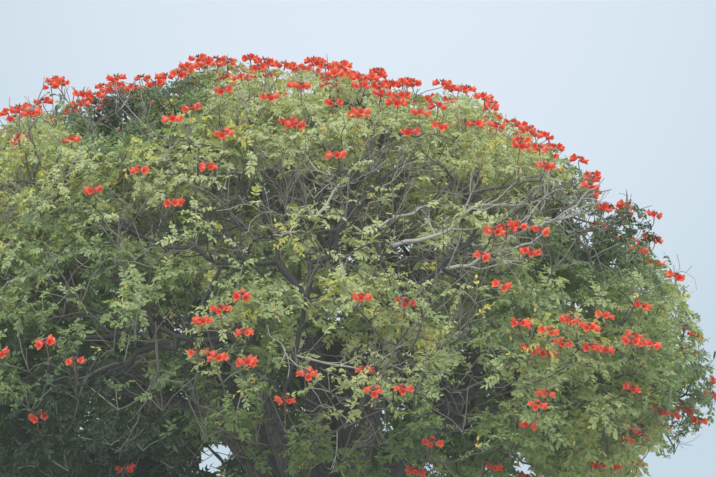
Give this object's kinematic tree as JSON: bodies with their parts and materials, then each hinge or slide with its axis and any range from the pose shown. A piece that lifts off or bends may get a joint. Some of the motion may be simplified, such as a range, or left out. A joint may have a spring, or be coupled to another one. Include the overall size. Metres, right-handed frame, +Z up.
{
  "type": "african tulip tree",
  "caption": "Broad domed tree on a fluted trunk, forking low into leaders and boughs that carry open masses of feathery leaves, with heads of orange-red flowers on the crown.",
  "frame": {"origin": "middle of the flat cut under the trunk, at ground level", "axes": "+Z up, -Y towards the viewer of the picture, +X to the viewer's right"},
  "size_m": [13.5148, 12.3085, 10.217],
  "materials": {
    "bark": "rough",
    "foliage": "satin",
    "twigs": "matte",
    "dead_wood": "matte",
    "flowers": "satin",
    "buds": "matte",
    "pods": "matte"
  },
  "bodies": {
    "root": {"bough_01": "bark", "bough_02": "bark", "bough_03": "bark", "bough_04": "bark", "bough_05": "bark", "bough_06": "bark", "bough_07": "bark", "bough_08": "bark", "bough_09": "bark", "bough_10": "bark", "bough_11": "bark", "bough_12": "bark", "bough_13": "bark", "bough_14": "bark", "bough_15": "bark", "bough_16": "bark", "bough_17": "bark", "bough_18": "bark", "bough_19": "bark", "bough_20": "bark", "bough_21": "bark", "bough_22": "bark", "foliage_01": "foliage", "foliage_02": "foliage", "foliage_03": "foliage", "foliage_04": "foliage", "foliage_05": "foliage", "foliage_06": "foliage", "foliage_07": "foliage", "foliage_08": "foliage", "foliage_09": "foliage", "foliage_10": "foliage", "foliage_11": "foliage", "foliage_12": "foliage", "foliage_13": "foliage", "foliage_14": "foliage", "foliage_15": "foliage", "foliage_16": "foliage", "foliage_17": "foliage", "foliage_18": "foliage", "foliage_19": "foliage", "foliage_20": "foliage", "foliage_21": "foliage", "foliage_22": "foliage", "leader_centre_1": "bark", "leader_centre_2": "bark", "leader_side_1": "bark", "leader_side_2": "bark", "leader_side_3": "bark", "leader_side_4": "bark", "leader_side_5": "bark", "leader_side_6": "bark", "leader_side_7": "bark", "trunk": "bark"}
  },
  "joints": []
}
